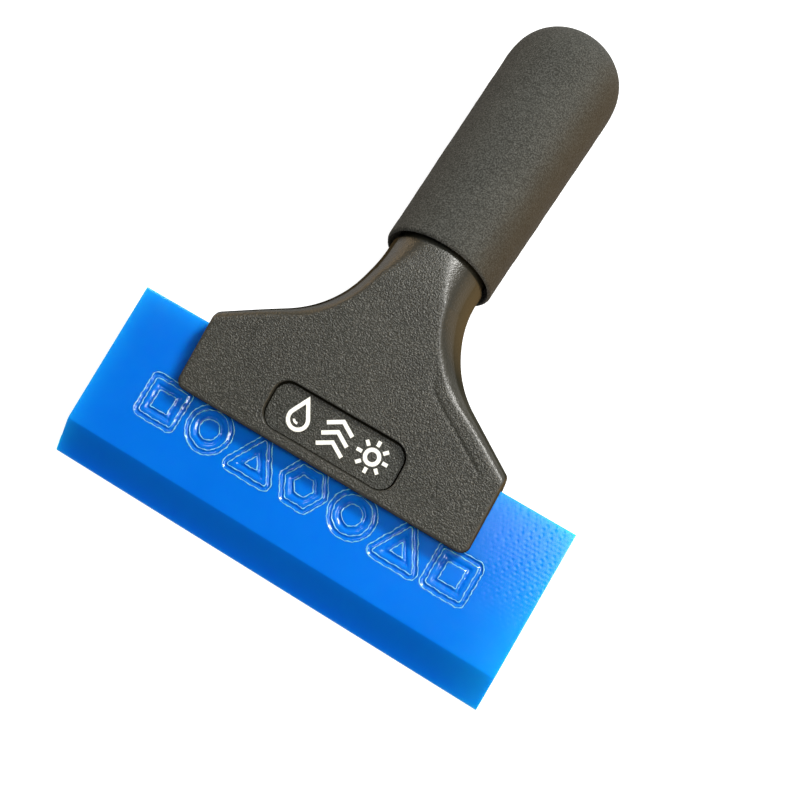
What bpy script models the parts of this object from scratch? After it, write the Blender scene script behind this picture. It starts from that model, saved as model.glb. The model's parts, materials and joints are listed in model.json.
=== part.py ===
"""A hand squeegee for film and vinyl: a soft bevelled blade, clamped in a T-shaped head whose bent
neck carries a foam grip. It lies on its back, resting on the wiping edge and on the grip's far end.

Every piece is modelled in the blade's own axes: X along the blade, Y from the wiping edge towards
the grip and Z out of the blade's front face. Y = 0 is the wiping edge, Z = 0 the front face and
X = 0 the middle of the head. One empty, rest_tilt, leans them all back so that the tool lies on
Z = 0. Metres throughout.
"""

import math

import bmesh
import bpy
from mathutils import Vector

# Blade
BLADE_WIDTH = 0.127
BLADE_HEIGHT = 0.0488
BLADE_THICK = 0.0048
BLADE_BEVEL_HEIGHT = 0.0090
BLADE_LAND = 0.0004
BLADE_SHIFT = -0.0007

# Head: the T-shaped block that holds the blade
HEAD_BOTTOM_Y = 0.0307
HEAD_HALF_WIDTH = 0.0424
HEAD_SPLAY = 0.027
HEAD_CORNER_ROUND = 0.0025
HEAD_EDGE_ROUND = 0.0007
BACK_EDGE_ROUND = 0.0014
FRONT_Z = 0.0048
FRONT_SLOPE = 0.16
FRONT_ROLL_Y = 0.076
FRONT_ROLL_RADIUS = 0.072
BACK_Z = -0.0080
BACK_SLOPE = -0.08
FLANK_ANGLE = math.radians(32)
FLANK_ARC = 0.0296
BULGE_HEAD_Z = 0.0036
BULGE_NECK_Z = 0.0015
BULGE_TURN_Y = (0.058, 0.074)
SIDE_REACH_HEAD = 0.0078
SIDE_REACH_START_Y = 0.052
SIDE_REACH_POWER = 1.3
SHOULDER_ROUND = 0.0010
SHOULDER_Y = (0.0480, 0.0543)
FLANK_Y = (0.0560, 0.0740)
STRAIGHT_Y = 0.040

# Neck and shank: the bent round bar that carries the grip
NECK_RADIUS = 0.0133
NECK_Y = 0.0866
NECK_ROUND_Y = 0.080
NECK_STEP = 0.0004
GRIP_TILT = math.radians(14.4)
GRIP_START = (0.0894, -0.0003)
BEND_STEPS = 9
SHANK_RADIUS = 0.0124
SHANK_LENGTH = 0.0660
SHANK_END_ROUND = 0.0015
CORE_RADIUS = 0.0070
CORE_DEPTH = 0.0560

# Foam grip
SLEEVE_RADIUS_RIM = 0.01516
SLEEVE_RADIUS_END = 0.0164
SLEEVE_LENGTH = 0.0789
SLEEVE_LIP_ROUND = 0.0014
SLEEVE_DOME_HEIGHT = 0.0155
SLEEVE_DOME_POWER = 2.3
SLEEVE_BORE_LENGTH = 0.0670

# Clamp
GAP = 0.0003
BLADE_SEAT_GAP = 0.0006
PLATE_END_Y = 0.0735
SCREW_PLACES = ((-0.019, 0.0552), (0.019, 0.0552), (0.0, 0.0665))
SCREW_RADIUS = 0.0019
SCREW_LENGTH = 0.0105
SCREW_HEAD_RADIUS = 0.0038
SCREW_HEAD_HEIGHT = 0.0024
SCREW_HEAD_ROUND = 0.0010
SCREW_CROSS_LENGTH = 0.0044
SCREW_CROSS_WIDTH = 0.0009
SCREW_CROSS_DEPTH = 0.0014
SCREW_SINK = 0.0029
SCREW_HOLE_RADIUS = 0.0023
SCREW_TIP_ROOM = 0.0018
COUNTERBORE_RADIUS = 0.0043
INSERT_RADIUS = 0.0028
INSERT_GROOVE_RADIUS = 0.0024
INSERT_BORE_RADIUS = 0.0022
INSERT_LENGTH = 0.0070

# Label recess in the front face
LABEL_SIZE = (0.0380, 0.0132)
LABEL_CENTRE_Y = 0.0399
LABEL_CORNER_ROUND = 0.0045
LABEL_DEPTH = 0.0012

# Fineness of the round shapes
SIDE_STEPS = 7
CORNER_STEPS = (0, 0.06, 0.2, 0.45, 1)
SHOULDER_STEPS = 9
FLANK_STEPS = 9
SHANK_STEPS = 40
LIP_STEPS = 4
DOME_STEPS = 9
CORE_STEPS = 24
SCREW_STEPS = 24
DEPTH_ROUNDS = 6

# How far a cutter runs past what it cuts
CUT_PAST = 0.010


def clear_scene():
    for obj in list(bpy.data.objects):
        bpy.data.objects.remove(obj)


def make_material(name, colour, roughness, metallic=0.0):
    material = bpy.data.materials.new(name)
    material.use_nodes = True
    shader = material.node_tree.nodes["Principled BSDF"]
    shader.inputs["Base Color"].default_value = (*colour, 1.0)
    shader.inputs["Roughness"].default_value = roughness
    shader.inputs["Metallic"].default_value = metallic
    material.diffuse_color = (*colour, 1.0)
    return material


def add_object(name, mesh, parent, material=None, smooth_angle=None):
    obj = bpy.data.objects.new(name, mesh)
    bpy.context.scene.collection.objects.link(obj)
    obj.parent = parent
    if material:
        mesh.materials.append(material)
    if smooth_angle:
        mesh.shade_smooth()
        mesh.set_sharp_from_angle(angle=smooth_angle)
    return obj


def mesh_from(bm, name):
    bmesh.ops.recalc_face_normals(bm, faces=bm.faces)
    mesh = bpy.data.meshes.new(name)
    bm.to_mesh(mesh)
    bm.free()
    return mesh


def hide_cutter(obj):
    obj.hide_render = True
    obj.display_type = "WIRE"
    return obj


def boolean(obj, cutter, operation):
    modifier = obj.modifiers.new(f"{operation}_{cutter.name}", "BOOLEAN")
    modifier.operation = operation
    modifier.solver = "EXACT"
    modifier.object = cutter


def smooth_step(value, start, end):
    part = min(max((value - start) / (end - start), 0.0), 1.0)
    return part * part * (3 - 2 * part)


def edge_drop(distance, radius):
    """How far a quarter-round edge of this radius lies inside the flat, at this distance from the edge."""
    if distance >= radius:
        return 0.0
    return radius - math.sqrt(radius**2 - (radius - max(distance, 0.0)) ** 2)


def loft(rings, name):
    """A closed solid through rings of equally many points, with a flat cap at each end."""
    bm = bmesh.new()
    rows = [[bm.verts.new(point) for point in ring] for ring in rings]
    for lower, upper in zip(rows, rows[1:]):
        for i in range(len(lower)):
            j = (i + 1) % len(lower)
            bm.faces.new((lower[i], lower[j], upper[j], upper[i]))
    bm.faces.new(rows[0][::-1])
    bm.faces.new(rows[-1])
    return mesh_from(bm, name)


def circle(bm, along, radius, steps):
    """A row of vertices round the Y axis, or one vertex on it."""
    if radius == 0:
        return [bm.verts.new((0, along, 0))]
    turns = [2 * math.pi * i / steps for i in range(steps)]
    return [bm.verts.new((radius * math.cos(t), along, radius * math.sin(t))) for t in turns]


def turned(profile, steps, name):
    """A solid turned about +Y from (distance along Y, radius) points, which may meet in a ring."""
    bm = bmesh.new()
    rows = [circle(bm, along, radius, steps) for along, radius in profile]
    if len(rows[0]) > 1:
        rows.append(rows[0])
    for lower, upper in zip(rows, rows[1:]):
        for i in range(steps):
            j = (i + 1) % steps
            near = [lower[i % len(lower)], lower[j % len(lower)]]
            far = [upper[j % len(upper)], upper[i % len(upper)]]
            bm.faces.new(list(dict.fromkeys(near + far)))
    return mesh_from(bm, name)


def prism(outline, depth_axis, low, high, name):
    """An outline of 2-D points extruded from low to high along X, Y or Z."""
    bm = bmesh.new()

    def place(point, depth):
        spot = list(point)
        spot.insert("XYZ".index(depth_axis), depth)
        return bm.verts.new(spot)

    near = [place(point, low) for point in outline]
    far = [place(point, high) for point in outline]
    for i in range(len(outline)):
        j = (i + 1) % len(outline)
        bm.faces.new((near[i], near[j], far[j], far[i]))
    bm.faces.new(near[::-1])
    bm.faces.new(far)
    return mesh_from(bm, name)


def rounded_rectangle(width, height, radius, steps=6):
    points = []
    for turn, (sx, sy) in enumerate(((1, 1), (-1, 1), (-1, -1), (1, -1))):
        cx = sx * (width / 2 - radius)
        cy = sy * (height / 2 - radius)
        for i in range(steps + 1):
            angle = math.radians(90 * turn + 90 * i / steps)
            points.append((cx + radius * math.cos(angle), cy + radius * math.sin(angle)))
    return points


def grip_point(along, off=0.0):
    """The (y, z) point this far along the grip's axis from its rim, and this far off it towards the front."""
    y = GRIP_START[0] + along * math.cos(GRIP_TILT) + off * math.sin(GRIP_TILT)
    z = GRIP_START[1] - along * math.sin(GRIP_TILT) + off * math.cos(GRIP_TILT)
    return y, z


def front_z(y):
    """The front face: a flat wedge that rolls back with the neck."""
    rolled = max(y - FRONT_ROLL_Y, 0.0)
    return FRONT_Z + FRONT_SLOPE * (y - HEAD_BOTTOM_Y) - rolled**2 / (2 * FRONT_ROLL_RADIUS)


def back_z(y):
    return BACK_Z + BACK_SLOPE * (y - HEAD_BOTTOM_Y)


def flank_half_width(y):
    """Half the width between the flanks: a straight slope, then an arc that runs into the round neck."""
    arc_start = NECK_Y - FLANK_ARC * math.cos(FLANK_ANGLE)
    if y >= NECK_Y:
        return NECK_RADIUS
    if y >= arc_start:
        return NECK_RADIUS + FLANK_ARC - math.sqrt(FLANK_ARC**2 - (NECK_Y - y) ** 2)
    at_start = NECK_RADIUS + FLANK_ARC * (1 - math.sin(FLANK_ANGLE))
    return at_start + (arc_start - y) / math.tan(FLANK_ANGLE)


def flank_sine(y):
    """The sine of the angle between the flank's outline and the X axis."""
    rise = (NECK_Y - y) / FLANK_ARC
    if rise <= 0:
        return 1.0
    return max(math.sqrt(max(1 - rise**2, 0.0)), math.sin(FLANK_ANGLE))


def smaller(first, second, blend):
    """The smaller of two lengths, rounded off where they meet."""
    near = max(blend - abs(first - second), 0.0) / blend
    return min(first, second) - near**2 * blend / 4


def bulge_z(y):
    """The height of the head's widest line, where its rounded sides turn under."""
    return BULGE_HEAD_Z + (BULGE_NECK_Z - BULGE_HEAD_Z) * smooth_step(y, *BULGE_TURN_Y)


def face_depths(y, tilt, centre_z):
    """How far the front and back faces lie from a section's centre, in the section's own plane."""
    in_front = 0.0
    behind = 0.0
    for _ in range(DEPTH_ROUNDS):
        in_front = (front_z(y + in_front * math.sin(tilt)) - centre_z) / math.cos(tilt)
        behind = (centre_z - back_z(y - behind * math.sin(tilt))) / math.cos(tilt)
    return in_front, behind


def side_arc(half_width, height, reach, reach_down):
    """One rounded side, from a flat's edge to the widest line, as (x, distance from that line)."""
    start = math.asin(min(height / reach_down, 1.0))
    angles = [start * (1 - i / SIDE_STEPS) for i in range(SIDE_STEPS + 1)]
    return [(half_width - reach * (1 - math.cos(a)), reach_down * math.sin(a)) for a in angles]


def ring(front, back):
    """A whole cross-section, from its right front and right back sides."""
    right = front + [(x, -off) for x, off in back[-2::-1]]
    return right + [(-x, off) for x, off in right[::-1]]


def head_section(y, tilt, centre_z):
    """The head's cross-section: two flats joined by rounded sides, which the head's straight ends cut off."""
    above_bottom = y - HEAD_BOTTOM_Y
    end_x = HEAD_HALF_WIDTH - HEAD_SPLAY * above_bottom - edge_drop(above_bottom, HEAD_CORNER_ROUND)
    round_radius = flank_half_width(NECK_ROUND_Y)
    part = max((y - SIDE_REACH_START_Y) / (NECK_ROUND_Y - SIDE_REACH_START_Y), 0.0)
    reach = SIDE_REACH_HEAD + (round_radius - SIDE_REACH_HEAD) * part**SIDE_REACH_POWER
    heights = face_depths(y, tilt, centre_z)
    round_heights = face_depths(NECK_ROUND_Y, 0.0, BULGE_NECK_Z)
    edge_rounds = (HEAD_EDGE_ROUND, BACK_EDGE_ROUND)
    sides = []
    for height, round_height, edge_round in zip(heights, round_heights, edge_rounds):
        reach_down = height * round_radius / round_height
        arc = side_arc(flank_half_width(y), height, reach / flank_sine(y), reach_down)
        limits = [end_x - edge_drop(height - off, edge_round) for _, off in arc]
        sides.append([(smaller(x, limit, SHOULDER_ROUND), off) for (x, off), limit in zip(arc, limits)])
    return ring(*sides)


def round_section(radius, heights):
    """A circle cut by the front and back flats, where they reach it."""
    most = 0.999 * radius
    return ring(*[side_arc(radius, min(height, most), radius, radius) for height in heights])


def section_points(outline, y, z, tilt):
    """A cross-section's points, standing across a centre line at (y, z) with this tilt."""
    return [(x, y + off * math.sin(tilt), z + off * math.cos(tilt)) for x, off in outline]


def evenly(start, end, steps):
    return [start + (end - start) * i / steps for i in range(steps + 1)]


def head_rows():
    """Where the head's cross-sections stand: close together round its corners and shoulders."""
    corner = [HEAD_BOTTOM_Y + HEAD_CORNER_ROUND * part for part in CORNER_STEPS]
    return corner + [STRAIGHT_Y] + evenly(*SHOULDER_Y, SHOULDER_STEPS) + evenly(*FLANK_Y, FLANK_STEPS)


def bend_rows():
    """The bent centre line from the head into the grip, a parabola's arc, as (y, z, tilt)."""
    turn_y = GRIP_START[0] - (BULGE_NECK_Z - GRIP_START[1]) / math.tan(GRIP_TILT)
    end_y, end_z = grip_point(-NECK_STEP)
    reach = math.hypot(end_y - turn_y, end_z - BULGE_NECK_Z)
    rows = []
    for i in range(BEND_STEPS + 1):
        u = i / BEND_STEPS
        y = (1 - u) ** 2 * (turn_y - reach) + 2 * u * (1 - u) * turn_y + u**2 * end_y
        z = (1 - u**2) * BULGE_NECK_Z + u**2 * end_z
        slope_y = (1 - u) * reach + u * (end_y - turn_y)
        slope_z = u * (end_z - BULGE_NECK_Z)
        rows.append((y, z, math.atan2(-slope_z, slope_y)))
    return rows


def neck_rings():
    rings = []
    for y, z, tilt in bend_rows():
        if y < NECK_ROUND_Y:
            outline = head_section(y, tilt, z)
        else:
            outline = round_section(flank_half_width(y), face_depths(y, tilt, z))
        rings.append(section_points(outline, y, z, tilt))
    return rings


def shank_rings():
    """The round bar inside the foam grip, with a rounded end."""
    eased = SHANK_END_ROUND * 0.3
    rows = [(-NECK_STEP, 0), (SHANK_LENGTH / 2, 0), (SHANK_LENGTH - SHANK_END_ROUND, 0)]
    rows += [(SHANK_LENGTH - eased, eased), (SHANK_LENGTH, SHANK_END_ROUND)]
    rings = []
    for along, inset in rows:
        radius = SHANK_RADIUS - inset
        outline = round_section(radius, (radius, radius))
        rings.append(section_points(outline, *grip_point(along), GRIP_TILT))
    return rings


def body_mesh(name):
    """The head, the bent neck and the shank in one solid, before the clamp is cut out of it."""
    head = [section_points(head_section(y, 0.0, bulge_z(y)), y, bulge_z(y), 0.0) for y in head_rows()]
    return loft(head + neck_rings() + shank_rings(), name)


def add_cutter(name, mesh, parent, place=(0, 0, 0), turn_x=0.0):
    cutter = hide_cutter(add_object(name, mesh, parent))
    cutter.location = place
    cutter.rotation_euler.x = turn_x
    return cutter


def cylinder_profile(low, high, radius):
    return [(low, 0), (low, radius), (high, radius), (high, 0)]


def stepped_profile(low, step, wide_radius, high):
    """A wide bore from low to the step, and a screw's clearance hole from there to high."""
    wide = [(low, 0), (low, wide_radius), (step, wide_radius)]
    return wide + [(step, SCREW_HOLE_RADIUS), (high, SCREW_HOLE_RADIUS), (high, 0)]


def cut(obj, name, mesh, operation="DIFFERENCE", **placing):
    boolean(obj, add_cutter(name, mesh, obj.parent, **placing), operation)


def seat_outline():
    """The (y, z) outline of the step behind the head, which takes the blade and the rear plate."""
    seat_top = BLADE_HEIGHT + BLADE_SEAT_GAP
    plate_end = PLATE_END_Y + GAP
    past = -CUT_PAST - HEAD_HALF_WIDTH
    step = [(0, GAP), (seat_top, GAP), (seat_top, -BLADE_THICK), (plate_end, -BLADE_THICK)]
    return step + [(plate_end, past), (0, past)]


def add_handle_body(parent, material):
    body = add_object("handle_body", body_mesh("handle_body"), parent, material, math.radians(30))
    past = HEAD_HALF_WIDTH + CUT_PAST
    cut(body, "cut_seat", prism(seat_outline(), "X", -past, past, "cut_seat"))
    core = cylinder_profile(SHANK_LENGTH - CORE_DEPTH, SHANK_LENGTH + CUT_PAST, CORE_RADIUS)
    mesh = turned(core, CORE_STEPS, "cut_core")
    cut(body, "cut_core", mesh, place=(0, *GRIP_START), turn_x=-GRIP_TILT)
    outline = rounded_rectangle(*LABEL_SIZE, LABEL_CORNER_ROUND)
    mesh = prism(outline, "Z", -LABEL_DEPTH, CUT_PAST, "cut_label")
    place = (0, LABEL_CENTRE_Y, front_z(LABEL_CENTRE_Y))
    cut(body, "cut_label", mesh, place=place, turn_x=math.atan(FRONT_SLOPE))
    for number, (x, y) in enumerate(SCREW_PLACES, 1):
        insert_top = INSERT_LENGTH + 2 * GAP - BLADE_THICK
        low, high = -BLADE_THICK - CUT_PAST, insert_top + SCREW_TIP_ROOM
        pocket = stepped_profile(low, insert_top, INSERT_RADIUS + GAP, high)
        name = f"cut_pocket_{number}"
        cut(body, name, turned(pocket, SCREW_STEPS, name), place=(x, y, 0), turn_x=math.pi / 2)
    return body


def add_rear_clamp_plate(parent, material):
    name = "rear_clamp_plate"
    plate = add_object(name, body_mesh(name), parent, material, math.radians(30))
    for number, (x, y) in enumerate(SCREW_PLACES, 1):
        floor = back_z(y) + SCREW_SINK
        hole = stepped_profile(back_z(y) - CUT_PAST, floor, COUNTERBORE_RADIUS, CUT_PAST)
        name = f"cut_screw_hole_{number}"
        cut(plate, name, turned(hole, SCREW_STEPS, name), place=(x, y, 0), turn_x=math.pi / 2)
    past = HEAD_HALF_WIDTH + CUT_PAST
    top = -BLADE_THICK - GAP
    block = [(0, top), (PLATE_END_Y, top), (PLATE_END_Y, -past), (0, -past)]
    cut(plate, "keep_plate", prism(block, "X", -past, past, "keep_plate"), "INTERSECT")
    return plate


def add_blade(parent, material):
    back = -BLADE_THICK
    outline = [(0, back), (0, back + BLADE_LAND), (BLADE_BEVEL_HEIGHT, 0)]
    outline += [(BLADE_HEIGHT, 0), (BLADE_HEIGHT, back)]
    mesh = prism(outline, "X", -BLADE_WIDTH / 2, BLADE_WIDTH / 2, "blade")
    blade = add_object("blade", mesh, parent, material)
    blade.location.x = BLADE_SHIFT
    return blade


def sleeve_radius(along):
    """The foam's outer radius, which swells a little from the rim to the dome."""
    part = along / (SLEEVE_LENGTH - SLEEVE_DOME_HEIGHT)
    return SLEEVE_RADIUS_RIM + (SLEEVE_RADIUS_END - SLEEVE_RADIUS_RIM) * part


def lip_points():
    """The rounded outer edge of the rim."""
    points = []
    for i in range(LIP_STEPS + 1):
        turn = math.pi / 2 * i / LIP_STEPS
        inset = SLEEVE_LIP_ROUND * (1 - math.sin(turn))
        points.append((SLEEVE_LIP_ROUND * (1 - math.cos(turn)), sleeve_radius(SLEEVE_LIP_ROUND) - inset))
    return points


def dome_points():
    """The rounded end, a little squarer than a ball, up to just before its tip."""
    power = 2 / SLEEVE_DOME_POWER
    points = []
    for i in range(DOME_STEPS):
        turn = math.pi / 2 * i / DOME_STEPS
        along = SLEEVE_LENGTH - SLEEVE_DOME_HEIGHT * (1 - math.sin(turn) ** power)
        points.append((along, SLEEVE_RADIUS_END * math.cos(turn) ** power))
    return points


def sleeve_profile():
    """The foam sleeve's wall, from the bore's closed end out round the lip to the dome's tip."""
    bore = SHANK_RADIUS + GAP
    middle = (SLEEVE_LENGTH - SLEEVE_DOME_HEIGHT) / 2
    inside = [(SLEEVE_BORE_LENGTH, 0), (SLEEVE_BORE_LENGTH, bore), (0, bore)]
    return inside + lip_points() + [(middle, sleeve_radius(middle))] + dome_points() + [(SLEEVE_LENGTH, 0)]


def add_grip_sleeve(parent, material):
    mesh = turned(sleeve_profile(), SHANK_STEPS, "grip_sleeve")
    sleeve = add_object("grip_sleeve", mesh, parent, material, math.radians(40))
    sleeve.location = (0, *GRIP_START)
    sleeve.rotation_euler.x = -GRIP_TILT
    return sleeve


def screw_profile():
    """A pan head, from its crown to its bearing face, and the plain shank with a chamfered tip."""
    crown = -SCREW_HEAD_HEIGHT
    edge = SCREW_HEAD_ROUND
    eased = edge * 0.3
    tip = edge / 2
    head = [(crown, 0), (crown, SCREW_HEAD_RADIUS - edge), (crown + eased, SCREW_HEAD_RADIUS - eased)]
    head += [(crown + edge, SCREW_HEAD_RADIUS), (0, SCREW_HEAD_RADIUS), (0, SCREW_RADIUS)]
    return head + [(SCREW_LENGTH - tip, SCREW_RADIUS), (SCREW_LENGTH, SCREW_RADIUS - tip), (SCREW_LENGTH, 0)]


def add_screw(number, x, y, parent, material):
    """A machine screw whose head sits in the plate's counterbore, under side down."""
    name = f"clamp_screw_{number}"
    mesh = turned(screw_profile(), SCREW_STEPS, name)
    screw = add_object(name, mesh, parent, material, math.radians(30))
    screw.location = (x, y, back_z(y) + SCREW_SINK - GAP)
    screw.rotation_euler.x = math.pi / 2
    arms = ((SCREW_CROSS_LENGTH, SCREW_CROSS_WIDTH), (SCREW_CROSS_WIDTH, SCREW_CROSS_LENGTH))
    for arm, (width, depth) in enumerate(arms, 1):
        x_end, z_end = width / 2, depth / 2
        outline = [(-x_end, -z_end), (x_end, -z_end), (x_end, z_end), (-x_end, z_end)]
        floor = SCREW_CROSS_DEPTH - SCREW_HEAD_HEIGHT
        bar = prism(outline, "Y", floor - CUT_PAST, floor, f"cut_cross_{number}_{arm}")
        boolean(screw, add_cutter(f"cut_cross_{number}_{arm}", bar, screw), "DIFFERENCE")
    return screw


def add_insert(number, x, y, parent, material):
    """A brass insert with a groove round its middle, which keeps it in the moulding."""
    third = INSERT_LENGTH / 3
    profile = [(0, INSERT_BORE_RADIUS), (0, INSERT_RADIUS), (third, INSERT_RADIUS)]
    profile += [(third, INSERT_GROOVE_RADIUS), (2 * third, INSERT_GROOVE_RADIUS)]
    profile += [(2 * third, INSERT_RADIUS), (INSERT_LENGTH, INSERT_RADIUS)]
    profile += [(INSERT_LENGTH, INSERT_BORE_RADIUS)]
    name = f"threaded_insert_{number}"
    insert = add_object(name, turned(profile, SCREW_STEPS, name), parent, material, math.radians(30))
    insert.location = (x, y, GAP - BLADE_THICK)
    insert.rotation_euler.x = math.pi / 2
    return insert


def rest_lean():
    """The angle that brings the wiping edge and the lowest line of the grip to one height."""
    steepest = 0.0
    for along, radius in sleeve_profile():
        y, z = grip_point(along, -radius)
        steepest = max(steepest, math.atan2(-BLADE_THICK - z, y))
    return steepest


def stand_on_floor(frame):
    """Moves the frame so that the tool's lowest point is at Z = 0 and its middle is over the origin."""
    bpy.context.view_layer.update()
    graph = bpy.context.evaluated_depsgraph_get()
    points = []
    for obj in bpy.context.scene.objects:
        if obj.type == "MESH" and not obj.hide_render:
            solid = obj.evaluated_get(graph)
            points += [solid.matrix_world @ vertex.co for vertex in solid.data.vertices]
    low = [min(point[i] for point in points) for i in range(3)]
    high = [max(point[i] for point in points) for i in range(3)]
    frame.location -= Vector(((low[0] + high[0]) / 2, (low[1] + high[1]) / 2, low[2]))


def main():
    clear_scene()
    rest_tilt = add_object("rest_tilt", None, None)
    rest_tilt.rotation_euler.x = rest_lean()
    black_plastic = make_material("black_plastic", (0.045, 0.043, 0.040), 0.55)
    blue_urethane = make_material("blue_urethane", (0.0, 0.17, 0.80), 0.22)
    grip_foam = make_material("grip_foam", (0.055, 0.053, 0.049), 0.85)
    stainless = make_material("stainless", (0.62, 0.62, 0.60), 0.28, 1.0)
    brass = make_material("brass", (0.78, 0.57, 0.24), 0.32, 1.0)
    add_handle_body(rest_tilt, black_plastic)
    add_rear_clamp_plate(rest_tilt, black_plastic)
    add_blade(rest_tilt, blue_urethane)
    add_grip_sleeve(rest_tilt, grip_foam)
    for number, (x, y) in enumerate(SCREW_PLACES, 1):
        add_screw(number, x, y, rest_tilt, stainless)
        add_insert(number, x, y, rest_tilt, brass)
    stand_on_floor(rest_tilt)


main()
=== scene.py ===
"""The looks of a hand squeegee: a blue blade in a black T-shaped head with a round foam grip.

Every piece is modelled in the blade's own axes, in metres: X along the blade, Y from the wiping
edge towards the grip, Z out of the blade's front face, with X = 0 at the middle of the head. REST
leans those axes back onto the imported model, which lies on its wiping edge and its grip's far end.
"""

import json
from math import asin, atan, atan2, cos, hypot, pi, radians, sin, sqrt, tan

import bmesh
import bpy
import numpy as np
from mathutils import Matrix, Vector, noise


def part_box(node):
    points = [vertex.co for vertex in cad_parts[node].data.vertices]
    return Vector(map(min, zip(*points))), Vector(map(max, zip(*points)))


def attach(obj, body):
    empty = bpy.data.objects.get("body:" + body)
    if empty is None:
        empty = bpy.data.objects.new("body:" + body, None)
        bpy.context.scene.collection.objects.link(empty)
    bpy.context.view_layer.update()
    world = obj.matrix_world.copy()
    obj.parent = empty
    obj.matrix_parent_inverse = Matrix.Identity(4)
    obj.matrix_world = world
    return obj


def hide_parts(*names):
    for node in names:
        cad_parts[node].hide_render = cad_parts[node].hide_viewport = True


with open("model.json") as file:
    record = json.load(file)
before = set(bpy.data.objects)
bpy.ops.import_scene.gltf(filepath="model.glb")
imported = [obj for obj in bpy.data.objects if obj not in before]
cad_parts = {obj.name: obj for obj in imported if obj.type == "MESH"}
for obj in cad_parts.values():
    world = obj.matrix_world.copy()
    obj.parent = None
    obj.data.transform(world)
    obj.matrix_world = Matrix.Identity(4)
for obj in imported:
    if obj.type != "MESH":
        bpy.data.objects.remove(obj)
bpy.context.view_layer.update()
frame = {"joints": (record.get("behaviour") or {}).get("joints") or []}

# Camera, in the blade's axes, and floor
CAMERA_PLACE = (0.05630, 0.03889, 0.27042)
CAMERA_TARGET = (0.00830, 0.05613, -0.00286)
CAMERA_UP = (-0.48968, 0.86054, 0.14029)
CAMERA_LENS = 49.5
FLOOR_SIZE = 3.0

# Blade
BLADE_WIDTH = 0.127
BLADE_HEIGHT = 0.0488
BLADE_THICK = 0.0048
BLADE_BEVEL_HEIGHT = 0.0090
BLADE_LAND = 0.0004
BLADE_SHIFT = -0.0007
BLADE_EDGE_ROUND = 0.00018

# Head
HEAD_BOTTOM_Y = 0.0307
HEAD_HALF_WIDTH = 0.0424
HEAD_SPLAY = 0.027
HEAD_CORNER_ROUND = 0.0025
HEAD_EDGE_ROUND = 0.0007
BOTTOM_EDGE_ROUND = 0.0008
BACK_EDGE_ROUND = 0.0014
FRONT_Z = 0.0048
FRONT_SLOPE = 0.16
FRONT_ROLL_Y = 0.076
FRONT_ROLL_RADIUS = 0.072
BACK_Z = -0.0080
BACK_SLOPE = -0.08
FLANK_ANGLE = radians(32)
FLANK_ARC = 0.0294
BULGE_HEAD_Z = 0.0036
BULGE_NECK_Z = 0.0015
BULGE_TURN_Y = (0.058, 0.074)
SIDE_REACH_HEAD = 0.0078
SIDE_REACH_START_Y = 0.052
SIDE_REACH_POWER = 1.3
SHOULDER_ROUND = 0.0007

# Neck and shank
NECK_RADIUS = 0.0133
NECK_Y = 0.0866
NECK_ROUND_Y = 0.080
NECK_STEP = 0.0004
GRIP_TILT = radians(14.4)
GRIP_START = (0.0894, -0.0003)
SHANK_RADIUS = 0.0124
SHANK_LENGTH = 0.0660
SHANK_END_ROUND = 0.0015
CORE_RADIUS = 0.0070
CORE_DEPTH = 0.0560

# Foam grip
SLEEVE_RADIUS_RIM = 0.01516
SLEEVE_RADIUS_END = 0.0164
SLEEVE_LENGTH = 0.0789
SLEEVE_LIP_ROUND = 0.0010
SLEEVE_DOME_HEIGHT = 0.0155
SLEEVE_DOME_POWER = 2.3
SLEEVE_BORE_LENGTH = 0.0670
SLEEVE_FLARE = (0.0142, 0.0026)
SLEEVE_FLARE_LIP = 0.0004

# Clamp
GAP = 0.0003
BLADE_SEAT_GAP = 0.0006
PLATE_END_Y = 0.0735
SCREW_PLACES = ((-0.019, 0.0552), (0.019, 0.0552), (0.0, 0.0665))
SCREW_RADIUS = 0.0019
SCREW_THREAD_DEPTH = 0.00035
SCREW_PITCH = 0.0007
SCREW_LENGTH = 0.0105
SCREW_HEAD_RADIUS = 0.0038
SCREW_HEAD_HEIGHT = 0.0024
SCREW_SINK = 0.0029
SCREW_HOLE_RADIUS = 0.0023
SCREW_TIP_ROOM = 0.0018
COUNTERBORE_RADIUS = 0.0043
INSERT_RADIUS = 0.0028
INSERT_BORE_RADIUS = 0.0022
INSERT_LENGTH = 0.0070

# Label recess
LABEL_SIZE = (0.0380, 0.0132)
LABEL_CENTRE_Y = 0.0399
LABEL_CORNER_ROUND = 0.0045
LABEL_DEPTH = 0.0012
LABEL_LIP_ROUND = 0.00026
LABEL_GROOVE_DEPTH = 0.0005
LABEL_GROOVE_WIDTH = 0.00046
LABEL_GROOVE_SHIFT = 0.00030
LABEL_GROOVE_ROUND = 0.00006

# How far a cutter runs past what it cuts, and how far from the middle it lies past the sides
CUT_PAST = 0.010
PAST_SIDES = HEAD_HALF_WIDTH + CUT_PAST

# Meshes
SMOOTH_ANGLE = 40
FASTENER_SMOOTH_ANGLE = 35
LEAST_RADIUS = 1e-6
BORE_SIDES = 48
COUNTERBORE_SIDES = 64


def rest_matrix():
    """Blade axes to the row frame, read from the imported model.

    It takes the model's lean, the blade's corner and the head's middle."""
    out = next(joint["axis"] for joint in frame["joints"] if joint["name"] == "clamp_open")
    lean = atan2(out[1], -out[2])
    blade_low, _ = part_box("blade")
    body_low, body_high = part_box("handle_body")
    edge_z = BLADE_LAND - BLADE_THICK
    place = (
        (body_low[0] + body_high[0]) / 2,
        blade_low[1] + edge_z * sin(lean),
        blade_low[2] + BLADE_THICK * cos(lean),
    )
    return Matrix.Translation(place) @ Matrix.Rotation(lean, 4, "X")


REST = rest_matrix()
GRIP_PLACE = Matrix.Translation((0, *GRIP_START)) @ Matrix.Rotation(-GRIP_TILT, 4, "X")


# -------- shapes


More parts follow.
